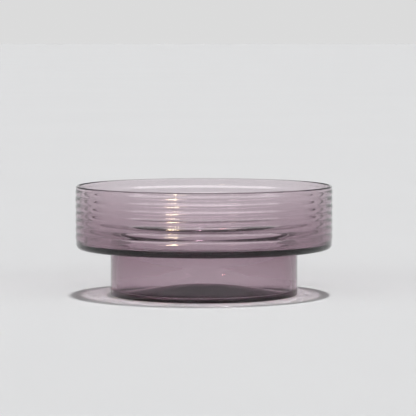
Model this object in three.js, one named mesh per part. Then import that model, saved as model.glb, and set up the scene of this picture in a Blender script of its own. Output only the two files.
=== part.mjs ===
import * as THREE from 'three';

// Ribbed glass candle holder: a low, wide bowl that steps in to a narrower hollow foot.
// Millimetres, +Z up. The axis of revolution is Z and the resting ring lies on z = 0.
// The glass is modelled as five rings that meet on flat level faces.

// Driving dimensions of the bowl
const overallHeight = 85;
const bowlRadius = 100;        // to the crests of the ribs
const rimWall = 2.2;           // glass thickness at the first valley under the lip
const bowlWall = 5.3;          // glass thickness at the foot of the ribs, crest to inside
const wallTaper = 1.1;         // 1 thins the wall steadily, more thins it mostly near the lip
const lipDrop = 2.2;           // from the top of the lip down to the first valley
const ribCount = 7;
const ribDepth = 0.45;
const ribRoundness = 1.25;     // 1 is a parabola, more rounds the valleys off
const insideRibDepth = 0.36;   // the inside follows the ribs, a little more softly

// Driving dimensions of the shoulder
const shoulderHeight = 36;     // underside above the table
const shoulderThickness = 4.5;
const bowlCornerRadius = 3.7;  // outside, where the bowl turns under
const bowlFillet = 2.5;        // inside, between the shoulder and the wall
const wellEdgeRadius = 3.2;    // inside, where the shoulder drops into the foot

// Driving dimensions of the foot
const footRadius = 72.8;
const footWallAtTop = 6;       // glass thickness under the shoulder
const footWall = 4.3;          // glass thickness where the wall meets the base
const neckFillet = 1.5;        // outside, between the foot and the underside of the shoulder
const baseThickness = 2;       // over the resting ring
const baseFillet = 3.2;        // inside, between the floor and the wall
const heelRadius = 1.2;        // outside, at the table
const kickUpRadius = 60;       // inner edge of the resting ring
const kickUpHeight = 6.5;      // hollow under the middle of the base
const floorRise = 9;           // the floor swells upwards in its middle
const floorRiseRadius = 64;
const domePower = 1.2;         // 1 is a cosine, more draws the swell in to the middle

// How finely curves are divided
const segments = 60;
const ribSteps = 4;
const lipSteps = 6;
const filletSteps = 3;
const domeSteps = 8;

const glassColour = '#a38d9a';
const glassRoughness = 0.05;
const glassOpacity = 0.45;

// Radii and heights that follow from the driving dimensions
const valleyRadius = bowlRadius - ribDepth;
const lipInnerRadius = valleyRadius - rimWall;
const bowlInnerRadius = bowlRadius - bowlWall;
const wellTopRadius = footRadius - footWallAtTop;
const wellRadius = footRadius - footWall;
const shoulderTop = shoulderHeight + shoulderThickness;
const ribTop = overallHeight - lipDrop;
const ribBase = shoulderTop + bowlFillet;
const ribPitch = (ribTop - ribBase) / ribCount;
const baseTop = baseThickness + baseFillet;

const point = (radius, height) => new THREE.Vector2(radius, height);

// Points on a round corner, angles in degrees from the +radius direction, both ends included
function arc(centreRadius, centreHeight, radius, fromAngle, toAngle, steps) {
  const points = [];
  for (let i = 0; i <= steps; i += 1) {
    const angle = THREE.MathUtils.degToRad(fromAngle + ((toAngle - fromAngle) * i) / steps);
    points.push(point(centreRadius + radius * Math.cos(angle), centreHeight + radius * Math.sin(angle)));
  }
  return points;
}

// A swell that is highest on the axis and dies away at a given radius, axis first
function swell(level, rise, radius) {
  const points = [];
  for (let i = 0; i <= domeSteps; i += 1) {
    const share = i / domeSteps;
    const fall = Math.max(Math.cos((Math.PI / 2) * share), 0) ** domePower;
    points.push(point(radius * share, level + rise * fall));
  }
  return points;
}

// How far a rib stands out between its two valleys, from 0 at a valley to 1 at the crest
function bulge(share) {
  return (4 * share * (1 - share)) ** ribRoundness;
}

// Points of the ribs on one side of the wall, lowest valley first, without the top one
function ribbedSide(radiusAt, depth) {
  const points = [];
  for (let rib = 0; rib < ribCount; rib += 1) {
    for (let step = 0; step < ribSteps; step += 1) {
      const share = step / ribSteps;
      const up = (rib + share) / ribCount;
      points.push(point(radiusAt(up) + depth * bulge(share), ribBase + (rib + share) * ribPitch));
    }
  }
  return points;
}

// Neighbouring points that fall on one another are kept once
function withoutRepeats(points) {
  const nearest = 1e-6;
  return points.filter((p, i) => i === 0 || p.distanceTo(points[i - 1]) > nearest);
}

// The outline runs up the outside and down the inside, so that every face looks outwards
function turned(name, outline) {
  const points = withoutRepeats(outline);
  const startsOnAxis = points[0].x === 0;
  if (!startsOnAxis) points.push(points[0].clone());
  const geometry = new THREE.LatheGeometry(points, segments);
  geometry.rotateX(Math.PI / 2);
  const material = new THREE.MeshStandardMaterial({
    color: glassColour,
    roughness: glassRoughness,
    metalness: 0,
    transparent: true,
    opacity: glassOpacity,
  });
  const mesh = new THREE.Mesh(geometry, material);
  mesh.name = name;
  return mesh;
}

// The rounded lip stands on the first valley
function rimLip() {
  const lipRadius = rimWall / 2;
  const lipCentreHeight = Math.max(overallHeight - lipRadius, ribTop);
  const outline = [
    point(lipInnerRadius, ribTop),
    point(valleyRadius, ribTop),
    ...arc(valleyRadius - lipRadius, lipCentreHeight, lipRadius, 0, 180, lipSteps),
  ];
  return turned('rim_lip', outline);
}

// Convex bands with narrow valleys between them outside.
// The inside follows them on a wall that thins upwards.
function ribbedWall() {
  const taper = (up) => bowlInnerRadius + (lipInnerRadius - bowlInnerRadius) * up ** wallTaper;
  const outside = ribbedSide(() => valleyRadius, ribDepth);
  const inside = ribbedSide(taper, insideRibDepth);
  const outline = [
    ...outside,
    point(valleyRadius, ribTop),
    point(lipInnerRadius, ribTop),
    ...inside.reverse(),
  ];
  return turned('ribbed_wall', outline);
}

// The flat step between bowl and foot, with the lowest plain band of the bowl
function shoulderRing() {
  const corner = Math.min(bowlCornerRadius, shoulderThickness + bowlFillet);
  const edge = Math.min(wellEdgeRadius, shoulderThickness);
  const outline = [
    point(wellTopRadius, shoulderHeight),
    ...arc(valleyRadius - corner, shoulderHeight + corner, corner, -90, 0, filletSteps),
    point(valleyRadius, ribBase),
    ...arc(bowlInnerRadius - bowlFillet, ribBase, bowlFillet, 0, -90, filletSteps),
    ...arc(wellTopRadius + edge, shoulderTop - edge, edge, 90, 180, filletSteps),
  ];
  return turned('shoulder_ring', outline);
}

// The upright wall of the foot flares a little where it meets the shoulder
function footRing() {
  const flare = arc(footRadius + neckFillet, shoulderHeight - neckFillet, neckFillet, 180, 90, filletSteps);
  const outline = [
    point(wellRadius, baseTop),
    point(footRadius, baseTop),
    ...flare,
    point(wellTopRadius, shoulderHeight),
  ];
  return turned('foot_wall', outline);
}

// The base rests on a flat ring, is pushed up into a dome underneath and swells inside
function baseDisc() {
  const heel = Math.min(heelRadius, baseTop);
  const floorRadius = wellRadius - baseFillet;
  const fillet = arc(floorRadius, baseTop, baseFillet, 0, -90, filletSteps);
  const outline = [
    ...swell(0, kickUpHeight, Math.min(kickUpRadius, footRadius - heel)),
    ...arc(footRadius - heel, heel, heel, -90, 0, filletSteps),
    point(footRadius, baseTop),
    ...fillet,
    ...swell(baseThickness, floorRise, Math.min(floorRiseRadius, floorRadius)).reverse(),
  ];
  return turned('base_disc', outline);
}

const candleHolder = new THREE.Group();
candleHolder.add(baseDisc(), footRing(), shoulderRing(), ribbedWall(), rimLip());

export default candleHolder;
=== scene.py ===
import math
import bpy
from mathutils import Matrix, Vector


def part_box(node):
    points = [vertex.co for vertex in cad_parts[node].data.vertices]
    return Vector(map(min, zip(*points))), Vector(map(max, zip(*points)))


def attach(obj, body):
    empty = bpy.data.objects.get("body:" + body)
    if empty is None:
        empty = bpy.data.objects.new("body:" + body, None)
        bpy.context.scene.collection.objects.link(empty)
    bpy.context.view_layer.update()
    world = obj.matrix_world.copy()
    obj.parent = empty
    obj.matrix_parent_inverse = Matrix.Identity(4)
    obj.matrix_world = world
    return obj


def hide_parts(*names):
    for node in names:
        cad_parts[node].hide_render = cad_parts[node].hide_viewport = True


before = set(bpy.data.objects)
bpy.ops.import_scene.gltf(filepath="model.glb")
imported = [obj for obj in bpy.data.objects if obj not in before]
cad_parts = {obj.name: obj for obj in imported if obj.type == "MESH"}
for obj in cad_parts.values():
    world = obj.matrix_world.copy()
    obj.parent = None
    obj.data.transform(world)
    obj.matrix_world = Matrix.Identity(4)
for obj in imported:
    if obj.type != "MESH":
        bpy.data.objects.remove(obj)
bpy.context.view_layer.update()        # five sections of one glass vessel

mm = 0.001
white = (1, 1, 1, 1)
scene = bpy.context.scene
scene.view_settings.view_transform = "Standard"


# Camera: a long lens, a little above the rim, with the holder low in the frame
camera = {
    "distance": 2.10,
    "elevation": 3.85,              # degrees
    "aim": (0.0031, 0.0, 0.0673),
    "frameWidth": 0.3237,           # what the square frame takes in at the holder
    "sensor": 36.0,
    "clipEnd": 100.0,
}


def makeCamera():
    data = bpy.data.cameras.new("camera")
    data.sensor_width = camera["sensor"]
    data.lens = camera["sensor"] * camera["distance"] / camera["frameWidth"]
    data.clip_end = camera["clipEnd"]
    body = bpy.data.objects.new("camera", data)
    scene.collection.objects.link(body)
    tilt = math.radians(camera["elevation"])
    back = Vector((0, -math.cos(tilt), math.sin(tilt)))
    body.location = Vector(camera["aim"]) + back * camera["distance"]
    body.rotation_euler = (-back).to_track_quat("-Z", "Y").to_euler()
    scene.camera = body


makeCamera()
print("stage: camera")


# The glass is one body, turned from one outline. Radii and heights are in millimetres.
bowl = {
    "ribCount": 7,
    "ribDepth": 0.45,
    "ribRoundness": 1.25,           # 1 is a plain parabola, more rounds the valleys off
    "ribSteps": 12,
    "insideRibDepth": 0.36,         # the inside follows the ribs a little more softly
    "rimWall": 2.2,
    "wallAtFoot": 5.3,
    "taper": 1.1,                   # 1 thins the wall steadily, more mostly near the lip
    "lipRadius": 1.15,              # a hair more than half the wall
    "lipSteps": 20,
    "cornerRadius": 3.7,            # outside, where the bowl turns under
    "edgeRadius": 3.2,              # inside, where the shoulder drops into the foot
    "cornerSteps": 8,
    "shoulderThickness": 4.5,
}
foot = {
    "wallAtTop": 6.0,
    "wallAtMiddle": 4.5,
    "middleHeight": 19.6,
    "wall": 4.3,                    # where it meets the base
    "neckFillet": 1.5,
    "baseThickness": 2.0,           # over the resting ring
    "heelRadius": 1.2,
    "kickUpRadius": 60.0,           # inner edge of the resting ring
    "kickUpHeight": 6.5,
    "floorRise": 9.0,               # the floor swells upwards in its middle
    "floorRiseRadius": 64.0,
    "domePower": 1.2,               # 1 is a cosine, more draws the swell in to the middle
    "domeSteps": 24,
}

low = {name: Vector(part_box(name)[0]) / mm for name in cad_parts}
high = {name: Vector(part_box(name)[1]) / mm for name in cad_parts}
bowlRadius = high["ribbed_wall"].x
valleyRadius = bowlRadius - bowl["ribDepth"]
topHeight = high["rim_lip"].z
ribTop = high["ribbed_wall"].z
ribBase = low["ribbed_wall"].z
ribPitch = (ribTop - ribBase) / bowl["ribCount"]
shoulderHeight = low["shoulder_ring"].z
shoulderTop = shoulderHeight + bowl["shoulderThickness"]
footRadius = high["base_disc"].x
wellTopRadius = footRadius - foot["wallAtTop"]
wellRadius = footRadius - foot["wall"]
baseTop = low["foot_wall"].z
baseFillet = baseTop - foot["baseThickness"]
lipInner = valleyRadius - bowl["rimWall"]
bowlInner = bowlRadius - bowl["wallAtFoot"]


# Points on a round corner, angles in degrees from the outward direction
def arc(centreRadius, centreHeight, radius, fromAngle, toAngle, steps):
    points = []
    for i in range(steps + 1):
        angle = math.radians(fromAngle + (toAngle - fromAngle) * i / steps)
        points.append((centreRadius + radius * math.cos(angle), centreHeight + radius * math.sin(angle)))
    return points


# A swell that is highest on the axis and dies away at a given radius, axis first
def swell(level, rise, radius):
    points = []
    for i in range(foot["domeSteps"] + 1):
        share = i / foot["domeSteps"]
        fall = max(0.0, math.cos(math.pi / 2 * share)) ** foot["domePower"]
        points.append((radius * share, level + rise * fall))
    return points


# The ribs on one side of the wall, lowest valley first
def ribbedSide(radiusAt, depth):
    points = []
    for step in range(bowl["ribCount"] * bowl["ribSteps"] + 1):
        along = step / bowl["ribSteps"]
        share = along % 1
        bulge = (4 * share * (1 - share)) ** bowl["ribRoundness"]
        points.append((radiusAt(along / bowl["ribCount"]) + depth * bulge, ribBase + along * ribPitch))
    return points


def wallInside(up):
    return bowlInner + (lipInner - bowlInner) * up ** bowl["taper"]


# Up the outside from under the base, over the lip and down the inside to the middle of the floor
def vesselOutline():
    steps = bowl["cornerSteps"]
    heel, neck = foot["heelRadius"], foot["neckFillet"]
    corner, edge, lip = bowl["cornerRadius"], bowl["edgeRadius"], bowl["lipRadius"]
    fillet = ribBase - shoulderTop
    outline = swell(0, foot["kickUpHeight"], foot["kickUpRadius"])
    outline += arc(footRadius - heel, heel, heel, -90, 0, steps)
    outline += arc(footRadius + neck, shoulderHeight - neck, neck, 180, 90, steps)
    outline += arc(valleyRadius - corner, shoulderHeight + corner, corner, -90, 0, steps)
    outline += ribbedSide(lambda up: valleyRadius, bowl["ribDepth"])
    outline += arc(valleyRadius - bowl["rimWall"] / 2, topHeight - lip, lip, 0, 180, bowl["lipSteps"])
    outline += ribbedSide(wallInside, bowl["insideRibDepth"])[::-1]
    outline += arc(bowlInner - fillet, ribBase, fillet, 0, -90, steps)
    outline += arc(wellTopRadius + edge, shoulderTop - edge, edge, 90, 180, steps)
    outline += [(footRadius - foot["wallAtMiddle"], foot["middleHeight"])]
    outline += arc(wellRadius - baseFillet, baseTop, baseFillet, 0, -90, steps)
    return outline + swell(foot["baseThickness"], foot["floorRise"], foot["floorRiseRadius"])[::-1]


turning = {
    "turns": 256,                   # faces round the axis
    "nearest": 0.0001,              # points closer than this are kept once
    "sharpFrom": 30,                # degrees
    "ovality": 0.10,                # the glass is a little out of round
    "ovalTurn": 25,                 # degrees
    "wander": 0.08,                 # the ribs rise and fall a little on their way round
    "wanderTurns": 3,
}


def blownShift(radius, height, angle):
    # never outwards, so that the glass keeps within its full size
    share = radius / bowlRadius
    oval = turning["ovality"] * (math.cos(2 * (angle - math.radians(turning["ovalTurn"]))) - 1) / 2
    # the ribs wander, the foot and the lip don't
    aboveFoot = min(max((height - shoulderHeight) / shoulderHeight, 0), 1)
    belowLip = min(max((ribTop - height) / ribPitch, 0), 1)
    wave = math.sin(turning["wanderTurns"] * angle + height / ribPitch)
    return radius + oval * share, height + turning["wander"] * aboveFoot * belowLip * wave


def turnGlass(name, outline, material):
    turns, nearest = turning["turns"], turning["nearest"]
    points = [p for i, p in enumerate(outline) if i == 0 or math.dist(p, outline[i - 1]) > nearest]
    vertices, faces, rows = [], [], []
    for radius, height in points:
        if radius == 0:
            rows.append([len(vertices)] * turns)
            vertices.append((0, 0, height * mm))
            continue
        rows.append(range(len(vertices), len(vertices) + turns))
        for turn in range(turns):
            angle = 2 * math.pi * turn / turns
            across, up = blownShift(radius, height, angle)
            vertices.append((across * math.cos(angle) * mm, across * math.sin(angle) * mm, up * mm))
    for lower, upper in zip(rows, rows[1:]):
        for turn in range(turns):
            after = (turn + 1) % turns
            corners = [lower[turn], lower[after], upper[after], upper[turn]]
            faces.append([c for i, c in enumerate(corners) if c not in corners[:i]])
    mesh = bpy.data.meshes.new(name)
    mesh.from_pydata(vertices, [], faces)
    mesh.polygons.foreach_set("use_smooth", [True] * len(mesh.polygons))
    mesh.set_sharp_from_angle(angle=math.radians(turning["sharpFrom"]))
    mesh.materials.append(material)
    piece = bpy.data.objects.new(name, mesh)
    scene.collection.objects.link(piece)
    return piece


def setInputs(node, values):
    for name, value in values.items():
        node.inputs[name].default_value = value


# Cloudiness that the glass and the floor share: a value between two limits and a plain height
clouds = {
    "inputs": {"Size": 0.02, "Least": 0.0, "Most": 1.0},
    "detail": 3.0,
    "roughness": 0.55,
    "from": 0.35,
    "to": 0.65,
}


def makeCloudGroup():
    group = bpy.data.node_groups.new("softClouds", "ShaderNodeTree")
    for name, value in clouds["inputs"].items():
        group.interface.new_socket(name, in_out="INPUT", socket_type="NodeSocketFloat").default_value = value
    for name in ("Value", "Height"):
        group.interface.new_socket(name, in_out="OUTPUT", socket_type="NodeSocketFloat")
    nodes, links = group.nodes, group.links
    given, result = nodes.new("NodeGroupInput"), nodes.new("NodeGroupOutput")
    place = nodes.new("ShaderNodeTexCoord")
    count = nodes.new("ShaderNodeMath")
    count.operation = "DIVIDE"
    count.inputs[0].default_value = 1.0
    links.new(given.outputs["Size"], count.inputs[1])
    noise = nodes.new("ShaderNodeTexNoise")
    setInputs(noise, {"Detail": clouds["detail"], "Roughness": clouds["roughness"]})
    links.new(place.outputs["Object"], noise.inputs["Vector"])
    links.new(count.outputs["Value"], noise.inputs["Scale"])
    spread = nodes.new("ShaderNodeMapRange")
    setInputs(spread, {"From Min": clouds["from"], "From Max": clouds["to"]})
    links.new(noise.outputs["Fac"], spread.inputs["Value"])
    links.new(given.outputs["Least"], spread.inputs["To Min"])
    links.new(given.outputs["Most"], spread.inputs["To Max"])
    links.new(spread.outputs["Result"], result.inputs["Value"])
    links.new(noise.outputs["Fac"], result.inputs["Height"])
    return group


softClouds = makeCloudGroup()


def addClouds(nodes, size, least, most):
    node = nodes.new("ShaderNodeGroup")
    node.node_tree = softClouds
    setInputs(node, {"Size": size, "Least": least, "Most": most})
    return node


glass = {
    "ior": 1.5,
    "smudgeSize": 0.03,             # metres across
    "leastRoughness": 0.0,
    "mostRoughness": 0.012,
    "waveSize": 0.02,
    "waveHeight": 0.000004,
    "passing": (0.29, 0.0, 0.155, 1),  # what the tint holds back least
    "density": 118,                 # per metre of glass
}


def makeGlass():
    material = bpy.data.materials.new("mauveGlass")
    material.use_nodes = True
    nodes, links = material.node_tree.nodes, material.node_tree.links
    shader = nodes["Principled BSDF"]
    setInputs(shader, {"Base Color": white, "IOR": glass["ior"], "Transmission Weight": 1.0})
    smudges = addClouds(nodes, glass["smudgeSize"], glass["leastRoughness"], glass["mostRoughness"])
    links.new(smudges.outputs["Value"], shader.inputs["Roughness"])
    waves = addClouds(nodes, glass["waveSize"], 0.0, 1.0)
    bump = nodes.new("ShaderNodeBump")
    setInputs(bump, {"Strength": 1.0, "Distance": glass["waveHeight"]})
    links.new(waves.outputs["Height"], bump.inputs["Height"])
    links.new(bump.outputs["Normal"], shader.inputs["Normal"])
    tint = nodes.new("ShaderNodeVolumeAbsorption")
    setInputs(tint, {"Color": glass["passing"], "Density": glass["density"]})
    links.new(tint.outputs["Volume"], nodes["Material Output"].inputs["Volume"])
    return material


vessel = turnGlass("glass_vessel", vesselOutline(), makeGlass())
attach(vessel, "root")
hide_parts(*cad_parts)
print("stage: glass,", len(vessel.data.polygons), "faces")


# Floor: pale, plain and wide enough to run out of sight. Sizes are in metres from here on.
floorLook = {
    "size": 60.0,
    "drop": 0.0002,                 # just under the resting ring
    "colour": (0.725, 0.728, 0.735),
    "mottleSize": 0.5,
    "leastTone": 0.995,
    "mostTone": 1.005,
}


def makeFloor():
    half = floorLook["size"] / 2
    z = -floorLook["drop"]
    corners = [(-half, -half, z), (half, -half, z), (half, half, z), (-half, half, z)]
    mesh = bpy.data.meshes.new("floor")
    mesh.from_pydata(corners, [], [(0, 1, 2, 3)])
    floor = bpy.data.objects.new("floor", mesh)
    scene.collection.objects.link(floor)
    material = bpy.data.materials.new("paleFloor")
    material.use_nodes = True
    nodes, links = material.node_tree.nodes, material.node_tree.links
    shader = nodes["Principled BSDF"]
    setInputs(shader, {"Roughness": 1.0, "Specular IOR Level": 0.0})
    mottle = addClouds(nodes, floorLook["mottleSize"], floorLook["leastTone"], floorLook["mostTone"])
    tone = nodes.new("ShaderNodeVectorMath")
    tone.operation = "SCALE"
    tone.inputs["Vector"].default_value = floorLook["colour"]
    links.new(mottle.outputs["Value"], tone.inputs["Scale"])
    links.new(tone.outputs["Vector"], shader.inputs["Base Color"])
    mesh.materials.append(material)


# Room: pale walls that are brighter high up in front and at the sides, dark high up at the back and
# overhead, with a soft box above the camera. Heights are those of a direction: 0 level, 1 overhead.
room = {
    "pale": 0.71,
    "highWalls": 1.30,
    "highBack": 0.25,
    "backFrom": -0.2,               # how far back a direction points: -1 is in front, 1 behind
    "backTo": 0.5,
    "wallsFrom": 0.10,
    "wallsTo": 0.20,
    "ceiling": 0.05,                # share of the walls' light that is left overhead
    "ceilingFrom": 0.40,
    "ceilingTo": 0.48,
    "softBox": 3.2,
    "softBoxFrom": 0.22,
    "softBoxTo": 0.44,
    "softBoxEdge": 0.02,
    "softBoxSide": 0.30,            # how far round it reaches: 0 is to the sides, 1 only in front
    "softBoxSideEdge": 0.1,
}


def makeWorld():
    world = bpy.data.worlds.new("studio")
    world.use_nodes = True
    scene.world = world
    nodes, links = world.node_tree.nodes, world.node_tree.links
    background = nodes["Background"]
    place = nodes.new("ShaderNodeTexCoord")
    split = nodes.new("ShaderNodeSeparateXYZ")
    links.new(place.outputs["Generated"], split.inputs["Vector"])
    up, backwards = split.outputs["Z"], split.outputs["Y"]

    # a smooth step from one level to another, which can be another step
    def step(value, fromPlace, toPlace, before, after):
        node = nodes.new("ShaderNodeMapRange")
        node.interpolation_type = "SMOOTHSTEP"
        setInputs(node, {"From Min": fromPlace, "From Max": toPlace, "To Min": before})
        links.new(value, node.inputs["Value"])
        if isinstance(after, bpy.types.NodeSocket):
            links.new(after, node.inputs["To Max"])
        else:
            setInputs(node, {"To Max": after})
        return node.outputs["Result"]

    def join(operation, first, second):
        node = nodes.new("ShaderNodeMath")
        node.operation = operation
        links.new(first, node.inputs[0])
        links.new(second, node.inputs[1])
        return node.outputs["Value"]

    high = step(backwards, room["backFrom"], room["backTo"], room["highWalls"], room["highBack"])
    walls = step(up, room["wallsFrom"], room["wallsTo"], room["pale"], high)
    ceiling = step(up, room["ceilingFrom"], room["ceilingTo"], 1, room["ceiling"])
    walls = join("MULTIPLY", walls, ceiling)

    lower, upper, edge = room["softBoxFrom"], room["softBoxTo"], room["softBoxEdge"]
    side, sideEdge = -room["softBoxSide"], room["softBoxSideEdge"]
    rise = step(up, lower - edge, lower + edge, 0, room["softBox"])
    fall = step(up, upper - edge, upper + edge, 1, 0)
    front = step(backwards, side - sideEdge, side + sideEdge, 1, 0)
    softBox = join("MULTIPLY", join("MULTIPLY", rise, fall), front)
    links.new(join("ADD", walls, softBox), background.inputs["Strength"])
    setInputs(background, {"Color": white})


# Key: one lamp almost overhead, which throws the round shadow and the light rings in it
key = {
    "strength": 1.98,
    "tilt": 3.5,                    # degrees from straight down
    "turn": -60,                    # degrees round the axis
    "angle": 4.0,                   # degrees that it spans in the sky
}


def makeKey():
    data = bpy.data.lights.new("key", "SUN")
    data.energy = key["strength"]
    data.angle = math.radians(key["angle"])
    lamp = bpy.data.objects.new("key", data)
    lamp.visible_glossy = False
    scene.collection.objects.link(lamp)
    lamp.rotation_euler = (-math.radians(key["tilt"]), 0, math.radians(key["turn"]))


# Small lamps that stand on the floor beside the camera and show as spots down the ribs.
# Azimuths are in degrees from the camera, levels are the brightness of a lamp's face.
lamps = {
    "warmWide": {
        "azimuth": -27.2, "distance": 0.600, "width": 0.300, "height": 0.110,
        "colour": (1.0, 0.86, 0.72), "level": 5.0,
    },
    "warmCore": {
        "azimuth": -27.6, "distance": 0.596, "width": 0.120, "height": 0.075,
        "colour": (1.0, 0.74, 0.44), "level": 58.0,
    },
    "pinkish": {
        "azimuth": 26.0, "distance": 0.592, "width": 0.080, "height": 0.100,
        "colour": (1.0, 0.80, 0.78), "level": 4.5,
    },
}


def makeLamp(name, lamp):
    data = bpy.data.lights.new(name, "AREA")
    data.shape = "RECTANGLE"
    data.size, data.size_y = lamp["width"], lamp["height"]
    data.color = lamp["colour"]
    data.energy = lamp["level"] * math.pi * lamp["width"] * lamp["height"]
    body = bpy.data.objects.new(name, data)
    # only its reflection counts: it lights no floor and isn't seen through the glass
    body.visible_transmission = False
    body.visible_diffuse = False
    scene.collection.objects.link(body)
    # seen mirrored in the wall, whose surface stands at half the lamp's turn
    turn = math.radians(lamp["azimuth"])
    surface = Vector((math.sin(turn / 2), -math.cos(turn / 2), 0)) * bowlRadius * mm
    away = Vector((math.sin(turn), -math.cos(turn), 0))
    body.location = surface + away * lamp["distance"] + Vector((0, 0, lamp["height"] / 2))
    body.rotation_euler = (-away).to_track_quat("-Z", "Z").to_euler()


# Light has a long way through the glass, and unclamped light makes the bright rings on the floor
paths = {
    "bounces": 32,
    "mirrorBounces": 12,
}


def setPaths():
    cycles = scene.cycles
    cycles.max_bounces = paths["bounces"]
    cycles.transmission_bounces = paths["bounces"]
    cycles.transparent_max_bounces = paths["bounces"]
    cycles.glossy_bounces = paths["mirrorBounces"]
    cycles.caustics_refractive = True
    cycles.caustics_reflective = True
    cycles.blur_glossy = 0.0
    cycles.sample_clamp_indirect = 0.0
    cycles.use_guiding = True
    cycles.use_surface_guiding = True


makeFloor()
makeWorld()
makeKey()
for name, lamp in lamps.items():
    makeLamp(name, lamp)
setPaths()
print("stage: studio")
